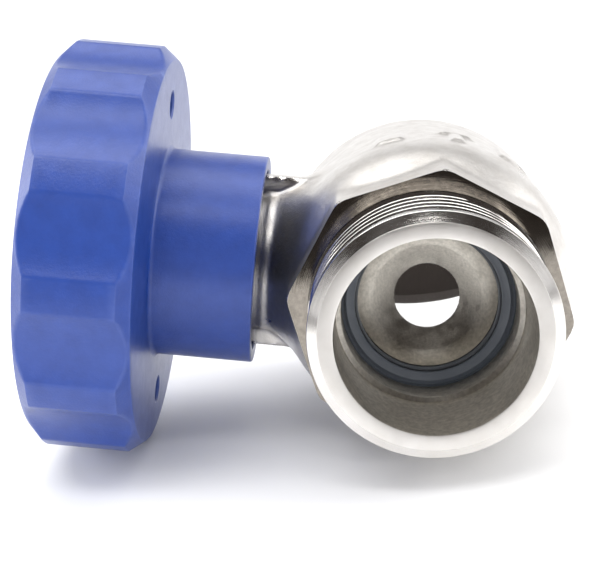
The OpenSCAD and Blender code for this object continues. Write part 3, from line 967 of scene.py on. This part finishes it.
washer = flat_ring("thrust_washer_ring", STEM_BORE_R, 7.9, 21.65, BORE_STEP_Z - 0.02, 0.12)
finish_piece(washer, "casing", ["thrust_washer"], WHITE_PTFE)
packing = flat_ring("gland_packing", STEM_BORE_R, 7.98, GLAND_FLOOR_Z + 0.02, 32.98, 0.3)
finish_piece(packing, "casing", ["packing_ring"], WHITE_PTFE)


def nut_shape(angle, r, z):
    """The gland nut's hexagon, on the part that stands out of the neck."""
    on_hex = (z > NECK_TOP + 0.03) & (r > 7)
    return angle, np.where(on_hex, soft_min(r, hex_limit(angle, 8.3), 0.12), r), z


def gland_nut():
    thread = [(7.98 - 0.3 * (k % 2), 33.3 + 0.35 * k) for k in range(11)]
    outline = [(STEM_BORE_R, 33.2), (5.65, 33.0), (7.7, 33.0)] + thread
    outline += [(7.7, 37.42), (8.2, 37.42), (9.0, 37.44), (9.7, 37.7), (9.7, 39.3), (9.0, 39.7), (8.2, 39.8),
                (5.65, 39.8), (STEM_BORE_R, 39.6)]
    nut = turned("gland_nut_hex", outline, stem_frame, 192, nut_shape)
    return finish_piece(nut, "casing", ["gland_nut"], BARE_BRASS, sharp=28)


gland_nut()

# ---- Hand knob ----
# One moulding of blue plastic: scalloped rim, flat web with two seal-wire holes, and a long
# hub skirt over the neck. Six ribs stiffen it in front, and two lugs inside the skirt stop it.

KNOB_R = 31.2
KNOB_BACK = 40.1
KNOB_FRONT = 56.25
BEVEL = 1.9
SCALLOPS = 12
SCALLOP_DEPTH = 1.5
LAND_ANGLE = math.radians(9.2)
SKIRT_R = 15.9
SKIRT_BORE_R = 13.9
SKIRT_END = 25.0
WEB_FRONT = 43.6
RIM_IN_R = 26.4
COVER_R = 27.0
COVER_Z = KNOB_FRONT - 2.2
BOSS_R = 12.0
WIRE_HOLE_REACH = 22.7
RUBBED_BLUE = (0.30, 0.38, 0.72, 1)


def moulded_plastic(name, dark, light, grain):
    """Moulded plastic: cloudy colour, fine grain, rubbed edges and a thin gloss."""
    material, tree, bsdf, where = new_material(name)
    skin = use_group(tree, CAST_SKIN, where, Scale=2600.0, Pits=0.15)
    wear = use_group(tree, EDGE_WEAR, where, Width=0.07, Break_Up=0.6)
    colour = blend_colour(tree, skin["Tone"], dark, light)
    colour = blend_colour(tree, times(tree, wear["Mask"], 0.35), colour, RUBBED_BLUE)
    rough = spread(tree, skin["Tone"], 0, 1, 0.40, 0.33)
    rough = maths(tree, "ADD", rough, times(tree, wear["Mask"], 0.08))
    wire_up(tree, bsdf, colour, rough, skin["Height"], grain, 0.00008)
    bsdf.inputs["Coat Weight"].default_value = 0.4
    bsdf.inputs["Coat Roughness"].default_value = 0.32
    return material


KNOB_BLUE = moulded_plastic("knob_blue", (0.006, 0.036, 0.225, 1), (0.011, 0.048, 0.275, 1), 0.6)


def scallop_limit(angle):
    """Radius of the rim: grip lands with round scallops between them."""
    sector = 2 * math.pi / SCALLOPS
    half_chord = KNOB_R * math.sin((sector - LAND_ANGLE) / 2)
    sag = KNOB_R * math.cos((sector - LAND_ANGLE) / 2) - (KNOB_R - SCALLOP_DEPTH)
    hollow_r = (half_chord ** 2 + sag ** 2) / (2 * sag)
    centre = KNOB_R - SCALLOP_DEPTH + hollow_r
    off = np.mod(angle, sector) - sector / 2
    under = hollow_r ** 2 - (centre * np.sin(off)) ** 2
    return np.where(under > 0, centre * np.cos(off) - np.sqrt(np.maximum(under, 0)), KNOB_R + 3)


def knob_angles():
    """Columns of one sector, crowded where a land turns into a scallop."""
    edge = math.degrees(LAND_ANGLE) / 2
    half = np.concatenate([np.linspace(0, edge - 0.9, 4, endpoint=False),
                           np.linspace(edge - 0.9, edge + 0.9, 10, endpoint=False),
                           np.linspace(edge + 0.9, 180 / SCALLOPS, 9, endpoint=False)])
    one = np.concatenate([half, 360 / SCALLOPS - half[1:][::-1], [180 / SCALLOPS]])
    one = np.sort(one)
    return np.radians(np.concatenate([one + k * 360 / SCALLOPS for k in range(SCALLOPS)]))


def knob_shape(angle, r, z):
    """Replaces the even columns by knob_angles() and presses the scallops into the rim."""
    columns = knob_angles()
    angle = np.repeat(columns, len(angle) // len(columns))
    on_rim = (r > 28) & (z > KNOB_BACK - 0.1)
    return angle, np.where(on_rim, soft_min(r, scallop_limit(angle), 0.22), r), z


def knob_moulding():
    hub = [(SKIRT_BORE_R, SKIRT_END), (SKIRT_R, SKIRT_END), (SKIRT_R, KNOB_BACK)]
    hub = rounded(hub, [0.25, 0.35, 0])[:-1]
    fillet = [(SKIRT_R + 0.7 * (1 - math.cos(a)), KNOB_BACK - 0.7 * (1 - math.sin(a)))
              for a in np.linspace(0, math.pi / 2, 6)]
    web = [(20, KNOB_BACK), (24, KNOB_BACK), (28.05, KNOB_BACK)]
    low = [(KNOB_R - BEVEL - 0.15, KNOB_BACK), (KNOB_R - BEVEL + 0.06, KNOB_BACK + 0.05)]
    low += [(KNOB_R - BEVEL * (1 - t), KNOB_BACK + BEVEL * t) for t in np.linspace(0.12, 0.9, 8)]
    low += [(KNOB_R - 0.05, KNOB_BACK + BEVEL - 0.06), (KNOB_R, KNOB_BACK + BEVEL + 0.16)]
    rim = [(KNOB_R, z) for z in np.linspace(KNOB_BACK + 3.5, KNOB_FRONT - 3.5, 6)]
    middle = (KNOB_BACK + KNOB_FRONT) / 2
    high = [(r, 2 * middle - z) for r, z in reversed(low)]
    front = [(28.05, KNOB_FRONT), (COVER_R + 0.2, KNOB_FRONT), (COVER_R, KNOB_FRONT - 0.2),
             (COVER_R, COVER_Z), (RIM_IN_R, COVER_Z), (RIM_IN_R, WEB_FRONT + 0.6),
             (RIM_IN_R - 0.6, WEB_FRONT), (BOSS_R + 0.6, WEB_FRONT), (BOSS_R, WEB_FRONT + 0.6),
             (BOSS_R, COVER_Z - 1.2),
             (BOSS_R - 0.2, COVER_Z - 1), (8.7, COVER_Z - 1), (8.52, COVER_Z - 1.2), (8.52, 40.98),
             (5.45, 40.98), (5.45, 40.3), (13.5, 40.3), (SKIRT_BORE_R, 39.9)]
    outline = hub + fillet + web + low + rim + high + front
    knob = turned("knob_moulding", outline, stem_frame, len(knob_angles()), knob_shape)
    knob.data.materials.append(KNOB_BLUE)
    for side in (-1, 1):
        hole = [(0, 39), (2.5, 39), (2.5, 39.85), (2.0, 40.35), (2.0, 45), (0, 45)]
        tool = turned("hole", hole, lambda co: stem_frame(co + (side * WIRE_HOLE_REACH, 0, 0)), 64)
        cut(knob, tool, KNOB_BLUE)
    return finish_piece(knob, "knob_body", ["knob"], sharp=28)


knob_moulding()


def spoke_tree():
    """Bars set round the stem: count, first angle, reach and the three sizes of a bar."""
    tree, given = growth_tree("spoke_bars", ("Count", "First Angle", "Reach", "Length", "Width", "Depth",
                                             "Height"))
    size = vector(tree, given["Length"], given["Width"], given["Depth"])
    bar = grown(tree, "MeshCube", Size=size, Vertices_X=10, Vertices_Y=3, Vertices_Z=6)
    index = tree.nodes.new("GeometryNodeInputIndex").outputs[0]
    part = maths(tree, "DIVIDE", times(tree, index, 2 * math.pi), given["Count"])
    angle = maths(tree, "ADD", part, given["First Angle"])
    x, y = [times(tree, maths(tree, turn, angle), given["Reach"]) for turn in ("COSINE", "SINE")]
    points = grown(tree, "Points", Count=given["Count"])
    placed = grown(tree, "SetPosition", Geometry=points, Position=vector(tree, x, y, given["Height"]))
    bars = grown(tree, "InstanceOnPoints", Points=placed, Instance=bar, Rotation=vector(tree, z=angle))
    return close_tree(tree, bars, given)


SPOKE_TREE = spoke_tree()
rib_sizes = {"Count": 6, "First Angle": math.pi / 6, "Reach": (BOSS_R + RIM_IN_R) / 2, "Width": 2.0,
             "Length": RIM_IN_R - BOSS_R + 0.6, "Depth": COVER_Z - WEB_FRONT - 1.8,
             "Height": (COVER_Z + WEB_FRONT) / 2 - 1.1, "Material": KNOB_BLUE}
ribs = grow("knob_ribs", SPOKE_TREE, stem_frame, rib_sizes)
finish_piece(ribs, "knob_body", ["knob"])


def stop_lugs():
    """Two lugs inside the skirt that meet the neck's ribs at the ends of the quarter turn."""
    inner = NECK_R + 0.8
    outer = SKIRT_BORE_R + 0.4
    foot = SKIRT_END + 1.5
    start = math.asin(1.25 / inner) + math.radians(1.4)
    section = rounded([(inner, foot), (outer, foot), (outer, RIB_TOP), (inner, RIB_TOP)], [0.3, 0, 0, 0.3])
    m = len(section)
    lugs = []
    for first in (start, start + math.pi):
        span = np.linspace(first, first + math.pi / 2 - 2 * start, 24)
        co = np.array([(r * math.cos(a), r * math.sin(a), z) for a in span for r, z in section])
        faces = [(i * m + k, i * m + (k + 1) % m, (i + 1) * m + (k + 1) % m, (i + 1) * m + k)
                 for i in range(len(span) - 1) for k in range(m)]
        faces += [tuple(range(m)), tuple(range((len(span) - 1) * m, len(span) * m))[::-1]]
        lugs.append(add_mesh("lug", stem_frame(co), faces))
    return finish_piece(clean(joined("stop_lugs", lugs)), "knob_body", ["knob"], KNOB_BLUE)


stop_lugs()

# ---- Knob fastening ----
# A brass insert moulded into the boss sits on the stem's square. A zinc plated screw holds it
# with a flat washer and a split spring washer.

HEAD_Z = 51.6
WASHER_Z = 49.52
SPRING_Z = 51.0
ZINC_PLATE = cloudy_material("zinc_plate", 1800.0, 0.2, ((0.50, 0.52, 0.55, 1), (0.66, 0.67, 0.68, 1)),
                             (0.40, 0.28), 0.2, 0.00003, 1.0, (0.80, 0.80, 0.81, 1))


def insert_shape(angle, r, z):
    """Knurled outside and square hole of the brass insert."""
    square = np.maximum(r, bar_limit(angle, 3.82, 3.82))
    knurl = r - 0.12 * (1 + np.cos(36 * angle)) / 2
    return angle, np.where(r < 4, square, np.where((r > 8.45) & (z > 42) & (z < 48.6), knurl, r)), z


insert = turned("square_insert", [(3.82, 41), (8.3, 41), (8.5, 41.2), (8.5, 42.5), (8.5, 45), (8.5, 48),
                                  (8.5, 49.3), (8.3, 49.5), (3.82, 49.5), (3.82, 45)], stem_frame, 288,
                insert_shape)
finish_piece(insert, "knob_body", ["drive_insert"], BARE_BRASS, sharp=28)
plain_washer = flat_ring("plain_washer", 2.7, 7.5, WASHER_Z, 50.5, 0.15)
finish_piece(plain_washer, "knob_body", ["flat_washer"], ZINC_PLATE)


def split_washer():
    """A spring washer is one turn of square wire, sprung open at its split."""
    tree, given = growth_tree("split_ring", ("Radius", "Rise", "Wire Width", "Wire Height", "Height"))
    radius = given["Radius"]
    path = grown(tree, "CurveSpiral", Resolution=72, Rotations=0.965, Start_Radius=radius,
                 End_Radius=radius, Height=given["Rise"])
    wire = grown(tree, "CurvePrimitiveQuadrilateral", Width=given["Wire Width"], Height=given["Wire Height"])
    upright = node(tree, "GeometryNodeSetCurveNormal", {"Curve": path}, mode="Z_UP").outputs[0]
    close_sweep(tree, given, upright, wire, True)
    sizes = {"Radius": 3.6, "Rise": 0.12, "Wire Width": 1.7, "Wire Height": 0.92, "Height": SPRING_Z,
             "Material": ZINC_PLATE}
    ring = grow("split_washer", tree, stem_frame, sizes)
    return finish_piece(ring, "knob_body", ["spring_washer"])


split_washer()


def screw_shape(angle, r, z):
    """Six-sided key socket in the head."""
    return angle, np.where((r < 2.4) & (z > HEAD_Z + 0.5), np.minimum(r, hex_limit(angle, 2.0)), r), z


def knob_screw():
    thread = [(2.48 - 0.3 * (k % 2), 36.6 + 0.4 * k) for k in range(32)]
    outline = [(0, 36), (2.0, 36), (2.3, 36.3)] + thread
    outline += [(2.48, 49.6), (2.48, HEAD_Z), (4.3, HEAD_Z), (4.5, HEAD_Z + 0.2), (4.5, 53.3), (4.2, 53.9),
                (3.5, 54.18), (2.5, 54.2), (2.35, 54.0), (2.3, 52.5), (0, 52.4)]
    screw = turned("socket_screw", outline, stem_frame, 144, screw_shape)
    return finish_piece(screw, "knob_body", ["knob_screw"], ZINC_PLATE, sharp=28)


knob_screw()

# ---- Cover, position marker and cap ----
# The knob's front is closed by a snapped-in disc with a white marker bar that shows where the
# ball's bore points, and a domed cap over the screw.

CAP_R = 9.0
MARKER_REACH = 18
COVER_BLUE = moulded_plastic("cover_blue", (0.011, 0.043, 0.235, 1), (0.016, 0.055, 0.285, 1), 0.4)


def bar_mesh(name, half_x, half_y, z0, z1, centre_x, edge):
    """A bar with rounded upright corners and a soft top edge, in the stem's frame."""
    work = bmesh.new()
    bmesh.ops.create_cube(work, size=1)
    for v in work.verts:
        v.co = (centre_x + 2 * half_x * v.co.x, 2 * half_y * v.co.y, (z0 + z1) / 2 + (z1 - z0) * v.co.z)
    upright = [e for e in work.edges if abs(e.verts[0].co.z - e.verts[1].co.z) > 0.01]
    bmesh.ops.bevel(work, geom=upright, offset=0.6, segments=5, affect="EDGES", profile=0.5)
    if edge:
        top = [e for e in work.edges if min(v.co.z for v in e.verts) > z1 - 1e-4]
        bmesh.ops.bevel(work, geom=top, offset=edge, segments=3, affect="EDGES", profile=0.5)
    mesh = bpy.data.meshes.new(name)
    work.to_mesh(mesh)
    work.free()
    write_points(mesh, stem_frame(read_points(mesh)))
    return clean(add_object(name, mesh))


def front_cover():
    snap = COVER_Z - 1.2
    seat = COVER_Z + 0.02
    outline = [(CAP_R + 0.05, COVER_Z - 0.01), (CAP_R + 0.05, 55.8), (CAP_R + 0.2, 56.0),
               (CAP_R + 0.5, 56.05), (12.4, 56.05), (12.55, 55.95), (12.7, 55.85), (24.3, 55.85),
               (24.5, 55.95), (24.7, 56.05), (26.5, 56.05), (26.85, 55.95), (26.95, 55.7),
               (26.95, seat), (26.35, seat), (26.35, snap), (24.9, snap), (24.9, seat), (11, seat),
               (11, COVER_Z - 0.01)]
    cover = turned("front_cover", outline, stem_frame, 256)
    cover.data.materials.append(COVER_BLUE)
    tool = bar_mesh("pocket", 5, 2, COVER_Z - 1, 58, MARKER_REACH, 0)
    cut(cover, tool, COVER_BLUE)
    return finish_piece(cover, "knob_body", ["knob_cover"], sharp=28)


front_cover()

MARKER_WHITE = cloudy_material("marker_white", 2200.0, 0.1, ((0.78, 0.78, 0.76, 1), (0.86, 0.86, 0.85, 1)),
                               (0.42, 0.34), 0.2, 0.00004)
marker = bar_mesh("marker_bar", 4.95, 1.95, COVER_Z + 0.4, KNOB_FRONT, MARKER_REACH, 0.3)
finish_piece(marker, "knob_body", ["position_marker"], MARKER_WHITE)


def screw_cap():
    dome = 1.2
    dome_r = (CAP_R ** 2 + dome ** 2) / (2 * dome)
    front = KNOB_FRONT - 0.3
    top = [(dome_r * math.sin(a), front + dome - dome_r * (1 - math.cos(a)))
           for a in np.linspace(math.asin((CAP_R - 0.3) / dome_r), 0, 14)]
    outline = [(5.7, 54.65), (8.9, 54.65), (CAP_R - 0.02, 54.8), (CAP_R - 0.02, front - 0.05),
               (CAP_R - 0.1, front + 0.03)] + top[:-1] + [(0, front + dome), (0, 55.25), (5.7, 55.25)]
    cap = turned("screw_cap", outline, stem_frame, 192)
    return finish_piece(cap, "knob_body", ["knob_cap"], COVER_BLUE)


screw_cap()
